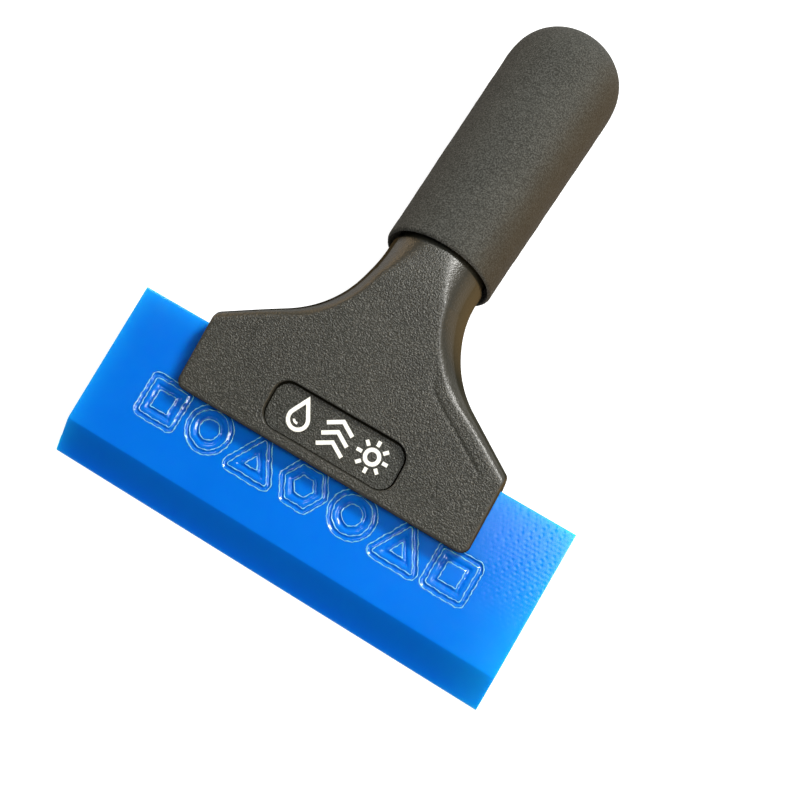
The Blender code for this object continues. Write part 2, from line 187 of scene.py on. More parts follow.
def linked(name, data):
    """A new object in the scene."""
    obj = bpy.data.objects.new(name, data)
    bpy.context.scene.collection.objects.link(obj)
    return obj


def placed(name, mesh, place):
    """An object in the row frame, from a mesh in the blade's axes or in those of a place."""
    mesh.transform(REST @ (place or Matrix.Identity(4)))
    return linked(name, mesh)


def add_piece(name, mesh, material, body, place=None, smooth_angle=SMOOTH_ANGLE):
    """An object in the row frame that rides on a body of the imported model."""
    obj = placed(name, mesh, place)
    mesh.materials.append(material)
    mesh.shade_smooth()
    if smooth_angle < 180:
        mesh.set_sharp_from_angle(angle=radians(smooth_angle))
    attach(obj, body)
    return obj


def mesh_of(verts, faces, name):
    mesh = bpy.data.meshes.new(name)
    mesh.from_pydata([tuple(v) for v in verts], [], faces)
    mesh.validate()
    mesh.update()
    return mesh


def ring_shell(rings, loop=False):
    """The points and faces of a closed surface through rings of equally many points.

    loop joins the last ring to the first, in place of capping both."""
    count = len(rings[0])
    verts = np.concatenate(rings)
    faces = []
    pairs = len(rings) if loop else len(rings) - 1
    for i in range(pairs):
        low = i * count
        high = (i + 1) % len(rings) * count
        for j in range(count):
            k = (j + 1) % count
            faces.append((low + j, low + k, high + k, high + j))
    if not loop:
        faces.append(tuple(range(count - 1, -1, -1)))
        faces.append(tuple(range((len(rings) - 1) * count, len(rings) * count)))
    return verts, faces


def ring_mesh(rings, name, loop=False):
    return outward(mesh_of(*ring_shell(rings, loop), name))


def joined_mesh(shells, name):
    """One mesh of several (points, faces) shells."""
    verts = np.concatenate([points for points, _ in shells])
    faces = []
    first = 0
    for points, found in shells:
        faces += [tuple(first + i for i in face) for face in found]
        first += len(points)
    return outward(mesh_of(verts, faces, name))


def outward(mesh):
    bm = bmesh.new()
    bm.from_mesh(mesh)
    bmesh.ops.recalc_face_normals(bm, faces=bm.faces)
    bm.to_mesh(mesh)
    bm.free()
    return mesh


def turned(profile, steps, name, waver=None):
    """A solid turned about +Y through (along, radius) points.

    waver(turns, along, radius) adds to the radius."""
    turns = np.linspace(0, 2 * pi, steps, endpoint=False)
    rings = []
    for along, radius in profile:
        radii = np.full(steps, max(radius, LEAST_RADIUS))
        if waver and radius > 0:
            radii = radii + waver(turns, along, radius)
        points = [radii * np.cos(turns), np.full(steps, along), radii * np.sin(turns)]
        rings.append(np.stack(points, 1))
    return ring_mesh(rings, name, loop=profile[0][1] > 0)


def prism(outline, depth_axis, low, high, name):
    """An outline of 2-D points extruded from low to high along X, Y or Z."""
    rings = []
    for depth in (low, high):
        rings.append(np.insert(np.array(outline, float), "XYZ".index(depth_axis), depth, axis=1))
    return ring_mesh(rings, name)


def cut(obj, cutters, operation="DIFFERENCE"):
    """Cuts the pieces away for good, and removes the cutters."""
    for cutter in cutters:
        modifier = obj.modifiers.new("cut", "BOOLEAN")
        modifier.operation = operation
        modifier.solver = "MANIFOLD"
        modifier.object = cutter
    bpy.context.view_layer.update()
    solid = obj.evaluated_get(bpy.context.evaluated_depsgraph_get())
    mesh = bpy.data.meshes.new_from_object(solid)
    obj.modifiers.clear()
    obj.data = mesh
    for cutter in cutters:
        bpy.data.objects.remove(cutter)


def cutter(mesh, place=None):
    return placed("cutter", mesh, place)


def sharpen(obj, angle=SMOOTH_ANGLE):
    """Marks the sharp edges again, after a cut."""
    obj.data.set_sharp_from_angle(angle=radians(angle))


def resampled(points, count, soften=0.0):
    """A closed outline as evenly spaced points, its corners softened over about this length."""
    points = np.array(points)
    steps = np.linalg.norm(np.roll(points, -1, axis=0) - points, axis=1)
    along = np.concatenate([[0], np.cumsum(steps)])
    wanted = np.linspace(0, along[-1], count, endpoint=False)
    closed = np.vstack([points, points[:1]])
    even = np.stack([np.interp(wanted, along, closed[:, i]) for i in range(2)], 1)
    if soften:
        waves = np.fft.rfftfreq(count, along[-1] / count)
        fade = np.exp(-2 * (pi * waves * soften) ** 2)
        even = np.fft.irfft(np.fft.rfft(even, axis=0) * fade[:, None], count, axis=0)
    return even


def edge_drop(distance, radius):
    """How far a quarter-round edge lies inside the flat, at this distance from the edge."""
    if distance >= radius:
        return 0.0
    return radius - sqrt(radius**2 - (radius - max(distance, 0.0)) ** 2)


def quarter(radius, degrees):
    """Points round a quarter-round edge, as (distance in, distance down) pairs."""
    turns = [radians(angle) for angle in degrees]
    return [(radius * (1 - cos(t)), radius * (1 - sin(t))) for t in turns]


def smooth_step(value, start, end):
    part = np.clip((value - start) / (end - start), 0.0, 1.0)
    return part * part * (3 - 2 * part)


# -------- head, neck and shank

SIDE_STEPS = 24
RING_POINTS = 580
FACE_PASSES = 6
SHOULDER_ROWS_Y = (0.0475, 0.0545)
FLANK_ROWS_END_Y = 0.0738
# The front's sides are eased where the flat's edge comes this near the straight end
EASE_NEAR = (-0.001, 0.002)
END_SOFTEN = 0.00012
RIDGE_SOFTEN = 0.00055
NECK_SOFTEN = 0.0015
FLANK_SOFTEN_Y = (0.0580, 0.0690)
NECK_SOFTEN_Y = (0.0740, 0.0860)
EASE_Y = (0.0560, 0.0680)
EASE_POWER = 0.6
DIP_DEPTH = 0.00018
DIP_WIDTH = 0.0011
DIP_INSET = 0.0056
DIP_MEETS_Y = (0.0580, 0.0700)
DIP_ENDS_Y = (0.0640, 0.0720)


def grip_point(along, off=0.0):
    """The (y, z) point this far along the grip's axis, and this far off it towards the front."""
    y = GRIP_START[0] + along * cos(GRIP_TILT) + off * sin(GRIP_TILT)
    z = GRIP_START[1] - along * sin(GRIP_TILT) + off * cos(GRIP_TILT)
    return y, z


def front_z(y):
    """The front face: a flat wedge that rolls back with the neck."""
    rolled = max(y - FRONT_ROLL_Y, 0.0)
    return FRONT_Z + FRONT_SLOPE * (y - HEAD_BOTTOM_Y) - rolled**2 / (2 * FRONT_ROLL_RADIUS)


def back_z(y):
    return BACK_Z + BACK_SLOPE * (y - HEAD_BOTTOM_Y)


def flank_half_width(y):
    """Half the width between the flanks: a straight slope, then an arc into the round neck."""
    arc_start = NECK_Y - FLANK_ARC * cos(FLANK_ANGLE)
    if y >= NECK_Y:
        return NECK_RADIUS
    if y >= arc_start:
        return NECK_RADIUS + FLANK_ARC - sqrt(FLANK_ARC**2 - (NECK_Y - y) ** 2)
    at_start = NECK_RADIUS + FLANK_ARC * (1 - sin(FLANK_ANGLE))
    return at_start + (arc_start - y) / tan(FLANK_ANGLE)


def flank_sine(y):
    """The sine of the angle between the flank's outline and the X axis."""
    rise = (NECK_Y - y) / FLANK_ARC
    if rise <= 0:
        return 1.0
    return max(sqrt(max(1 - rise**2, 0.0)), sin(FLANK_ANGLE))


def smaller(first, second, blend):
    """The smaller of two lengths, rounded off where they meet."""
    near = max(blend - abs(first - second), 0.0) / blend
    return min(first, second) - near**2 * blend / 4


def bulge_z(y):
    """The height of the head's widest line, where its rounded sides turn under."""
    return BULGE_HEAD_Z + (BULGE_NECK_Z - BULGE_HEAD_Z) * float(smooth_step(y, *BULGE_TURN_Y))


def face_depths(y, tilt, centre_z):
    """How far the front and back faces lie from a section's centre, in its own plane."""
    in_front = 0.0
    behind = 0.0
    for _ in range(FACE_PASSES):
        in_front = (front_z(y + in_front * sin(tilt)) - centre_z) / cos(tilt)
        behind = (centre_z - back_z(y - behind * sin(tilt))) / cos(tilt)
    return in_front, behind


def side_arc(half_width, height, reach, reach_down):
    """One rounded side, from a flat's edge to the widest line, as (x, off that line) points."""
    start = asin(min(height / reach_down, 1.0))
    angles = [start * (1 - i / SIDE_STEPS) for i in range(SIDE_STEPS + 1)]
    return [(half_width - reach * (1 - cos(a)), reach_down * sin(a)) for a in angles]


def eased(arc, height, amount):
    """The front's rounded side near the shoulder, which starts softly from the flat."""
    points = []
    for i, (x, off) in enumerate(arc):
        soft = height - (height - off) * (i / SIDE_STEPS) ** EASE_POWER
        points.append((x, off + (soft - off) * amount))
    return points


def dipped(outline, height, crease, y, amount):
    """A shallow sink mark that runs beside the right-hand edge of the flat."""
    middle = crease - DIP_INSET * (1 - float(smooth_step(y, *DIP_MEETS_Y)))
    across = [middle + DIP_WIDTH * i / 2 for i in range(-6, 7)]
    added = [(x, height) for x in across if x < outline[0][0] - DIP_WIDTH / 4]
    depth = DIP_DEPTH * amount * (1 - float(smooth_step(y, *DIP_ENDS_Y)))
    points = []
    for x, off in outline + added:
        dip = depth * float(bump(x, middle, DIP_WIDTH)) if off > 0 else 0.0
        points.append((x, off - dip))
    return points


def ring(front, back):
    """A whole cross-section, from its right front and right back sides."""
    right = front + [(x, -off) for x, off in back[-2::-1]]
    return right + [(-x, off) for x, off in right[::-1]]


def head_section(y, tilt, centre_z):
    """The head's cross-section: two flats joined by rounded sides, cut off by straight ends."""
    above = y - HEAD_BOTTOM_Y
    end_x = HEAD_HALF_WIDTH - HEAD_SPLAY * above - edge_drop(above, HEAD_CORNER_ROUND)
    round_radius = flank_half_width(NECK_ROUND_Y)
    part = max((y - SIDE_REACH_START_Y) / (NECK_ROUND_Y - SIDE_REACH_START_Y), 0.0)
    reach = SIDE_REACH_HEAD + (round_radius - SIDE_REACH_HEAD) * part**SIDE_REACH_POWER
    heights = face_depths(y, tilt, centre_z)
    round_heights = face_depths(NECK_ROUND_Y, 0.0, BULGE_NECK_Z)
    sides = []
    edge_rounds = (HEAD_EDGE_ROUND, BACK_EDGE_ROUND)
    drop = edge_drop(above, BOTTOM_EDGE_ROUND)
    for height, round_height, edge_round in zip(heights, round_heights, edge_rounds):
        reach_down = height * round_radius / round_height
        arc = side_arc(flank_half_width(y), height, reach / flank_sine(y), reach_down)
        if not sides:
            crease = arc[0][0]
            amount = float(smooth_step(end_x - crease, *EASE_NEAR))
            arc = eased(arc, height, amount * (1 - float(smooth_step(y, *EASE_Y))))
        limits = [end_x - edge_drop(height - off, edge_round) for _, off in arc]
        sides.append([
            (smaller(x, limit, SHOULDER_ROUND), min(off, height - drop))
            for (x, off), limit in zip(arc, limits)
        ])
    return dipped(ring(*sides), heights[0] - drop, crease, y, amount)


def round_section(radius, heights):
    """A circle cut by the front and back flats, where they reach it."""
    most = 0.999 * radius
    return ring(*[side_arc(radius, min(height, most), radius, radius) for height in heights])


def section_ring(outline, y, z, tilt, soften):
    """A cross-section's points in the blade's axes, at (y, z) on a centre line with this tilt."""
    flat = resampled(outline, RING_POINTS, soften)
    off = flat[:, 1]
    return np.stack([flat[:, 0], y + off * sin(tilt), z + off * cos(tilt)], 1)


def head_rows():
    """Where the head's cross-sections stand, close together round its corners and shoulders."""
    corner = [HEAD_BOTTOM_Y + up for up, _ in quarter(HEAD_CORNER_ROUND, range(0, 91, 6))]
    below = np.linspace(corner[-1], SHOULDER_ROWS_Y[0], 26)[1:-1]
    shoulder = np.linspace(*SHOULDER_ROWS_Y, 30)[:-1]
    flank = np.linspace(SHOULDER_ROWS_Y[1], FLANK_ROWS_END_Y, 44)
    return [*corner, *below, *shoulder, *flank]


def bend_rows(steps=34):
    """The bent centre line from the head into the grip, as (y, z, tilt)."""
    turn_y = GRIP_START[0] - (BULGE_NECK_Z - GRIP_START[1]) / tan(GRIP_TILT)
    end_y, end_z = grip_point(-NECK_STEP)
    reach = hypot(end_y - turn_y, end_z - BULGE_NECK_Z)
    rows = []
    for i in range(steps + 1):
        u = i / steps
        y = (1 - u) ** 2 * (turn_y - reach) + 2 * u * (1 - u) * turn_y + u**2 * end_y
        z = (1 - u**2) * BULGE_NECK_Z + u**2 * end_z
        slope_y = (1 - u) * reach + u * (end_y - turn_y)
        slope_z = u * (end_z - BULGE_NECK_Z)
        rows.append((y, z, atan2(-slope_z, slope_y)))
    return rows


def ridge_soften(y):
    """How far the front's ridges are rounded: crisp at the head, fading at the neck."""
    flank = (RIDGE_SOFTEN - END_SOFTEN) * float(smooth_step(y, *FLANK_SOFTEN_Y))
    neck = (NECK_SOFTEN - RIDGE_SOFTEN) * float(smooth_step(y, *NECK_SOFTEN_Y))
    return END_SOFTEN + flank + neck


def body_rings():
    """The head, the bent neck and the shank, before the clamp is cut out of them."""
    rings = []
    for y in head_rows():
        z = bulge_z(y)
        rings.append(section_ring(head_section(y, 0.0, z), y, z, 0.0, ridge_soften(y)))
    for y, z, tilt in bend_rows():
        if y < NECK_ROUND_Y:
            outline = head_section(y, tilt, z)
        else:
            outline = round_section(flank_half_width(y), face_depths(y, tilt, z))
        rings.append(section_ring(outline, y, z, tilt, ridge_soften(y)))
    shank = [(-NECK_STEP, 0), (0.2 * SHANK_LENGTH, 0), (0.6 * SHANK_LENGTH, 0)]
    for inset, back in quarter(SHANK_END_ROUND, range(0, 91, 15)):
        shank.append((SHANK_LENGTH - back, inset))
    for along, inset in shank:
        y, z = grip_point(along)
        radius = SHANK_RADIUS - inset
        outline = round_section(radius, (radius, radius))
        rings.append(section_ring(outline, y, z, GRIP_TILT, 0))
    return rings


def rounded_rectangle(width, height, radius, steps=14):
    points = []
    for turn, (sx, sy) in enumerate(((1, 1), (-1, 1), (-1, -1), (1, -1))):
        cx = sx * (width / 2 - radius)
        cy = sy * (height / 2 - radius)
        for i in range(steps + 1):
            angle = radians(90 * turn + 90 * i / steps)
            points.append((cx + radius * cos(angle), cy + radius * sin(angle)))
    return np.array(points)


def label_place():
    """The middle of the recess on the front face, with Z out of that face."""
    spot = Matrix.Translation((0, LABEL_CENTRE_Y, front_z(LABEL_CENTRE_Y)))
    return spot @ Matrix.Rotation(atan(FRONT_SLOPE), 4, "X")


def label_cutter_mesh():
    """The recess, with a rounded lip round its mouth and a groove round its floor.

    The groove is wider on the grip's side."""
    layers = [(CUT_PAST, LABEL_LIP_ROUND, 0)]
    for down, inset in quarter(LABEL_LIP_ROUND, [90 * i / 8 for i in range(9)]):
        layers.append((-down, inset, 0))
    bottom = -LABEL_DEPTH - LABEL_GROOVE_DEPTH
    layers += [(-LABEL_DEPTH, 0, 0), (bottom, 0, 0)]
    for height, grow in (
        (bottom, LABEL_GROOVE_ROUND - LABEL_GROOVE_WIDTH),
        (-LABEL_DEPTH - LABEL_GROOVE_ROUND, -LABEL_GROOVE_WIDTH),
        (-LABEL_DEPTH, -LABEL_GROOVE_ROUND - LABEL_GROOVE_WIDTH),
    ):
        layers.append((height, grow, LABEL_GROOVE_SHIFT))
    rings = []
    for height, grow, shift in layers:
        width, across = (side + 2 * grow for side in LABEL_SIZE)
        outline = rounded_rectangle(width, across, LABEL_CORNER_ROUND + grow) - (0, shift)
        rings.append(np.column_stack([outline, np.full(len(outline), height)]))
    return ring_mesh(rings, "label_cutter")


def stepped_cutter(low, step, wide_radius, high):
    """A wide bore from low to the step, and a screw's clearance hole from there to high."""
    wide = [(low, 0), (low, wide_radius), (step, wide_radius)]
    return wide + [(step, SCREW_HOLE_RADIUS), (high, SCREW_HOLE_RADIUS), (high, 0)]


def upright(x, y, z=0.0):
    """A place on the blade's plane whose +Y points out of the front."""
    return Matrix.Translation((x, y, z)) @ Matrix.Rotation(pi / 2, 4, "X")


def seat_outline():
    """The (y, z) outline of the step behind the head, which takes the blade and the rear plate."""
    seat_top = BLADE_HEIGHT + BLADE_SEAT_GAP
    plate_end = PLATE_END_Y + GAP
    past = -PAST_SIDES
    step = [(0, GAP), (seat_top, GAP), (seat_top, -BLADE_THICK), (plate_end, -BLADE_THICK)]
    return step + [(plate_end, past), (0, past)]


def add_handle_body(material):
    mesh = ring_mesh(body_rings(), "moulded_handle")
    body = add_piece("moulded_handle", mesh, material, "handle")
    core = [(SHANK_LENGTH - CORE_DEPTH, 0), (SHANK_LENGTH - CORE_DEPTH, CORE_RADIUS)]
    core += [(SHANK_LENGTH + CUT_PAST, CORE_RADIUS), (SHANK_LENGTH + CUT_PAST, 0)]
    cutters = [cutter(prism(seat_outline(), "X", -PAST_SIDES, PAST_SIDES, "seat_cutter"))]
    cutters.append(cutter(turned(core, BORE_SIDES, "core_cutter"), GRIP_PLACE))
    cutters.append(cutter(label_cutter_mesh(), label_place()))
    for x, y in SCREW_PLACES:
        low = -BLADE_THICK - CUT_PAST
        top = INSERT_LENGTH + 2 * GAP - BLADE_THICK
        pocket = stepped_cutter(low, top, INSERT_RADIUS + GAP, top + SCREW_TIP_ROOM)
        cutters.append(cutter(turned(pocket, BORE_SIDES, "pocket_cutter"), upright(x, y)))
    cut(body, cutters)
    sharpen(body)
    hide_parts("handle_body")
    return body


def add_rear_clamp_plate(material):
    mesh = ring_mesh(body_rings(), "moulded_rear_plate")
    plate = add_piece("moulded_rear_plate", mesh, material, "rear_clamp")
    top = -BLADE_THICK - GAP
    block = [(0, top), (PLATE_END_Y, top), (PLATE_END_Y, -PAST_SIDES), (0, -PAST_SIDES)]
    holes = []
    for x, y in SCREW_PLACES:
        floor = back_z(y) + SCREW_SINK
        hole = stepped_cutter(back_z(y) - CUT_PAST, floor, COUNTERBORE_RADIUS, CUT_PAST)
        holes.append(cutter(turned(hole, COUNTERBORE_SIDES, "hole_cutter"), upright(x, y)))
    cut(plate, holes)
    inside = prism(block, "X", -PAST_SIDES, PAST_SIDES, "plate_block")
    cut(plate, [cutter(inside)], "INTERSECT")
    sharpen(plate)
    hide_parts("rear_clamp_plate")
    return plate


# -------- blade

RELIEF_PITCH = 0.0143
RELIEF_MIDDLE = (-0.0005, 0.0252)
# Each shape's number of sides, turn in degrees, corner radius and rise; 48 sides make a ring
RELIEF_SHAPES = (
    (4, 45, 0.0062, 0.0),
    (48, 0, 0.0046, 0.0),
    (3, 90, 0.0060, -0.0016),
    (6, 0, 0.0050, 0.0),
    (48, 0, 0.0046, 0.0),
    (3, 90, 0.0060, -0.0016),
    (4, 45, 0.0062, 0.0),
)
RELIEF_HALF_STROKE = 0.0019
RELIEF_CREST = 0.00052
RELIEF_DEPTH = 0.00045
BEAD_RADIUS = 0.00012
BEAD_STEP = 0.00030
BEAD_SIDES = 8
BEAD_SOFTEN = 0.00015
BEAD_SWELL = 0.35
WANDER = (0.00012, 0.00005)
PIT_PITCH = 0.00112
PIT_DEPTH = 0.00009
PIT_RADIUS = 0.00026
PIT_FADE_X = (0.038, 0.060)
PIT_FADE_Y = (0.016, 0.036)
CELL = 0.00030
# The front is flat down to FRONT_END_Y, and its rows lie a cell apart down to RELIEF_END_Y
RELIEF_END_Y = BLADE_BEVEL_HEIGHT + 0.006
FRONT_END_Y = BLADE_BEVEL_HEIGHT + 0.0006


def polygon(cx, cy, radius, sides, turn):
    angles = [radians(turn) + 2 * pi * i / sides for i in range(sides)]
    return np.array([(cx + radius * cos(a), cy + radius * sin(a)) for a in angles])


def relief_outlines():
    """The middle lines of the relief's strokes, as a row of plain closed shapes."""
    outlines = []
    for i, (sides, turn, radius, rise) in enumerate(RELIEF_SHAPES):
        cx = RELIEF_MIDDLE[0] + (i - (len(RELIEF_SHAPES) - 1) / 2) * RELIEF_PITCH
        outlines.append(polygon(cx, RELIEF_MIDDLE[1] + rise, radius, sides, turn))
    return outlines


def distance_to_outline(x, y, corners):
    """How far each point lies from a closed outline of straight sides."""
    nearest = np.full(x.shape, 1.0)
    for (ax, ay), (bx, by) in zip(corners, np.roll(corners, -1, axis=0)):
        length = (bx - ax) ** 2 + (by - ay) ** 2
        part = np.clip(((x - ax) * (bx - ax) + (y - ay) * (by - ay)) / length, 0, 1)
        away = np.hypot(x - ax - part * (bx - ax), y - ay - part * (by - ay))
        nearest = np.minimum(nearest, away)
    return nearest


def bump(value, centre, width):
    return np.exp(-(((value - centre) / width) ** 2))


def wander(x, y):
    """The unevenness of the relief's edges, which were cut by hand in the mould."""
    wide = WANDER[0] * np.sin(x * 1500 + 1.3 * np.sin(y * 1300)) * np.sin(y * 1900 + x * 700)
    return wide + WANDER[1] * np.sin(x * 5200) * np.sin(y * 4700)


def relief_height(x, y):
    """The moulded relief: each stroke is a channel with a low crest along its middle."""
    distance = np.full(x.shape, 1.0)
    for corners in relief_outlines():
        distance = np.minimum(distance, distance_to_outline(x, y, corners))
    distance = distance + wander(x, y)
    half = RELIEF_HALF_STROKE
    channel = -RELIEF_DEPTH * (1 - smooth_step(distance, 0.68 * half, half))
    crest = 0.8 * RELIEF_DEPTH * (1 - smooth_step(distance, RELIEF_CREST, 0.58 * half))
    return channel + crest


def offset_outline(corners, off):
    """A convex outline moved outwards, with rounded corners, or inwards if off is below zero."""
    middle = corners.mean(axis=0)
    count = len(corners)
    if off < 0:
        reach = np.linalg.norm(corners[0] - middle) * cos(pi / count)
        return middle + (corners - middle) * (reach + off) / reach
    points = []
    for corner in corners:
        out = atan2(*(corner - middle)[::-1])
        for i in range(7):
            turn = out + pi / count * (i / 3 - 1)
            points.append(corner + off * np.array((cos(turn), sin(turn))))
    return np.array(points)


def bead_shell(corners, off):
    """A fine bead of urethane that stands along one edge of a stroke."""
    rough = offset_outline(corners, off)
    length = np.linalg.norm(np.roll(rough, -1, axis=0) - rough, axis=1).sum()
    line = resampled(rough, int(length / BEAD_STEP), BEAD_SOFTEN)
    way = np.roll(line, -1, axis=0) - np.roll(line, 1, axis=0)
    way /= np.linalg.norm(way, axis=1, keepdims=True)
    side = np.stack([way[:, 1], -way[:, 0]], 1)
    line = line - side * (np.sign(off) * wander(line[:, 0], line[:, 1]))[:, None]
    height = relief_height(line[:, 0], line[:, 1])
    thick = BEAD_RADIUS * (1 + BEAD_SWELL * np.sin(line[:, 0] * 2100 + line[:, 1] * 2900))
    turns = [2 * pi * i / BEAD_SIDES for i in range(BEAD_SIDES)]
    rings = []
    for (x, y), (sx, sy), z, radius in zip(line, side, height, thick):
        offs = [(radius * cos(t), radius * sin(t)) for t in turns]
        rings.append(np.array([(x + out * sx, y + out * sy, z + up) for out, up in offs]))
    return ring_shell(rings, loop=True)


def pit_height(x, y):
    """Small cast pits in rows, near the blade's right end."""
    row = np.round(y / PIT_PITCH)
    place = x / PIT_PITCH + 0.5 * (row % 2)
    strength = 0.5 + 0.5 * np.sin(row * 12.9898 + np.floor(place) * 78.233)
    away = np.hypot(place % 1 - 0.5, y / PIT_PITCH - row) * PIT_PITCH
    where = smooth_step(x, *PIT_FADE_X) * smooth_step(y, *PIT_FADE_Y)
    return -PIT_DEPTH * strength * where * bump(away, 0, PIT_RADIUS)


def blade_section():
    """The blade's (y, z) outline, from the top of its front face down and round."""
    r = BLADE_EDGE_ROUND
    back = -BLADE_THICK
    edge = back + BLADE_LAND
    fine = list(np.arange(BLADE_HEIGHT - r, RELIEF_END_Y, -CELL))
    coarse = list(np.linspace(fine[-1], FRONT_END_Y, 14)[1:])
    front = [(y, 0.0) for y in fine + coarse]
    soft = [(BLADE_BEVEL_HEIGHT + 0.0003, -0.00003), (BLADE_BEVEL_HEIGHT, -0.00010)]
    bevel = [(BLADE_BEVEL_HEIGHT * (1 - i / 12), edge * (i / 12)) for i in range(1, 12)]
    tip = [(0.00012, edge + 0.00005), (0.0, edge - 0.00008), (0.0, back + 0.0001), (0.0001, back)]
    rear = [(y, back) for y in np.linspace(0.002, BLADE_HEIGHT - r, 24)]
    top = [(BLADE_HEIGHT - r * 0.3, back + r * 0.3), (BLADE_HEIGHT, back + r)]
    top += [(BLADE_HEIGHT, -r), (BLADE_HEIGHT - r * 0.3, -r * 0.3)]
    return np.array(front + soft + bevel + tip + rear + top)


def add_blade(material):
    outline = blade_section()
    r = BLADE_EDGE_ROUND
    half = BLADE_WIDTH / 2
    ends = [(half - back, inset) for inset, back in quarter(r, (0, 25, 50, 70, 90))]
    inner = np.arange(-half + 2 * r, half - r, CELL)
    columns = [(-x, inset) for x, inset in ends[::-1]] + [(x, 0.0) for x in inner] + ends
    middle = np.array([BLADE_HEIGHT / 2, -BLADE_THICK / 2])
    rings = []
    for x, inset in columns:
        section = outline.copy()
        if inset:
            towards = np.sign(middle - section)
            section = section + towards * np.minimum(np.abs(middle - section), inset)
        rings.append(np.column_stack([np.full(len(section), x), section]))
    points = np.array(rings)
    x, y, z = (points[..., i] for i in range(3))
    on_front = (z > -1e-6) & (y > FRONT_END_Y)
    points[..., 2] += np.where(on_front, relief_height(x, y) + pit_height(x, y), 0)
    solid = ring_shell(list(points))
    beads = []
    for corners in relief_outlines():
        for off in (-RELIEF_HALF_STROKE, RELIEF_CREST, RELIEF_HALF_STROKE):
            beads.append(bead_shell(corners, off))
    mesh = joined_mesh([solid, *beads], "cast_blade")
    place = Matrix.Translation((BLADE_SHIFT, 0, 0))
    blade = add_piece("cast_blade", mesh, material, "blade", place, smooth_angle=55)
    mark_edges(blade, len(solid[0]))
    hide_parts("blade")


# -------- foam grip

# The skin's swells and its grain, as (height, waves per metre)
FOAM_SWELLS = ((0.00010, 160), (0.00004, 520), (0.000028, 2100))
SLEEVE_SIDES = 320
SLEEVE_ROWS = 160
DOME_ROWS = 72


def sleeve_radius(along):
    """The foam's outer radius, which swells a little from the rim to the dome."""
    part = along / (SLEEVE_LENGTH - SLEEVE_DOME_HEIGHT)
    return SLEEVE_RADIUS_RIM + (SLEEVE_RADIUS_END - SLEEVE_RADIUS_RIM) * part


def sleeve_profile():
    """The foam sleeve's wall, from the bore's closed end out round the lip to the dome's tip."""
    bore = SHANK_RADIUS + GAP
    flare, depth = SLEEVE_FLARE
    lip = SLEEVE_FLARE_LIP
    profile = [(SLEEVE_BORE_LENGTH, 0), (SLEEVE_BORE_LENGTH, bore)]
    profile += [(SLEEVE_BORE_LENGTH / 2, bore), (depth, bore)]
    profile += [(0.6 * depth, flare - lip), (lip, flare), (0, flare + lip)]
    rim = sleeve_radius(SLEEVE_LIP_ROUND)
    turns = [90 * i / 11 for i in range(3, 12)]
    profile += [(along, rim - inset) for along, inset in quarter(SLEEVE_LIP_ROUND, turns)]
    rows = np.linspace(SLEEVE_LIP_ROUND, SLEEVE_LENGTH - SLEEVE_DOME_HEIGHT, SLEEVE_ROWS)
    profile += [(along, sleeve_radius(along)) for along in rows[1:-1]]
    power = 2 / SLEEVE_DOME_POWER
    for i in range(DOME_ROWS):
        turn = pi / 2 * i / DOME_ROWS
        along = SLEEVE_LENGTH - SLEEVE_DOME_HEIGHT * (1 - sin(turn) ** power)
        profile.append((along, SLEEVE_RADIUS_END * cos(turn) ** power))
    return profile + [(SLEEVE_LENGTH, 0)]


def foam_waver(turns, along, radius):
    """Slow swells and a fine grain in the foam's skin, on its outside only."""
    if radius <= SHANK_RADIUS + 0.001:
        return np.zeros(len(turns))
    found = []
    for turn in turns:
        spot = Vector((radius * cos(turn), along, radius * sin(turn)))
        found.append(sum(height * noise.noise(spot * waves) for height, waves in FOAM_SWELLS))
    return np.array(found)


def add_grip_sleeve(material):
    mesh = turned(sleeve_profile(), SLEEVE_SIDES, "foam_grip", foam_waver)
    sleeve = add_piece("foam_grip", mesh, material, "handle", GRIP_PLACE, smooth_angle=180)
    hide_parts("grip_sleeve")
    return sleeve


# -------- screws and inserts

CROWN_ROUND = 0.0012
TIP_CHAMFER = (0.0005, 0.0006)
THREAD_ROWS = 120
THREAD_SIDES = 72
CROSS_ARM = (0.0044, 0.0009)
CROSS_DEPTH = 0.0014
INSERT_CHAMFER = (0.0002, 0.0003)
INSERT_WAIST = (0.0026, 0.0044)
INSERT_WAIST_RADIUS = 0.0024
INSERT_ROWS = 56
INSERT_SIDES = 108
KNURL_DEPTH = 0.00014
KNURL_STARTS = 9
KNURL_TWIST = 3200


def thread_waver(turns, along, radius):
    """A helical groove of SCREW_PITCH, on the shank only and fading in below the head."""
    if radius > SCREW_RADIUS or along < SCREW_PITCH or along > SCREW_LENGTH - 0.0002:
        return np.zeros(len(turns))
    phase = (along / SCREW_PITCH - turns / (2 * pi)) % 1
    return -SCREW_THREAD_DEPTH * (1 - np.abs(2 * phase - 1))


def screw_profile():
    """A pan head with a domed crown, then a threaded shank with a chamfered tip."""
    crown = -SCREW_HEAD_HEIGHT
    profile = [(crown, 0), (crown, SCREW_HEAD_RADIUS * 0.55)]
    for down, inset in quarter(CROWN_ROUND, range(0, 91, 10)):
        profile.append((crown + down, SCREW_HEAD_RADIUS - inset))
    profile += [(-0.0001, SCREW_HEAD_RADIUS), (0, SCREW_HEAD_RADIUS - 0.0001), (0, SCREW_RADIUS)]
    rows = np.linspace(0.0001, SCREW_LENGTH - TIP_CHAMFER[0], THREAD_ROWS)
    profile += [(along, SCREW_RADIUS) for along in rows]
    return profile + [(SCREW_LENGTH, SCREW_RADIUS - TIP_CHAMFER[1]), (SCREW_LENGTH, 0)]


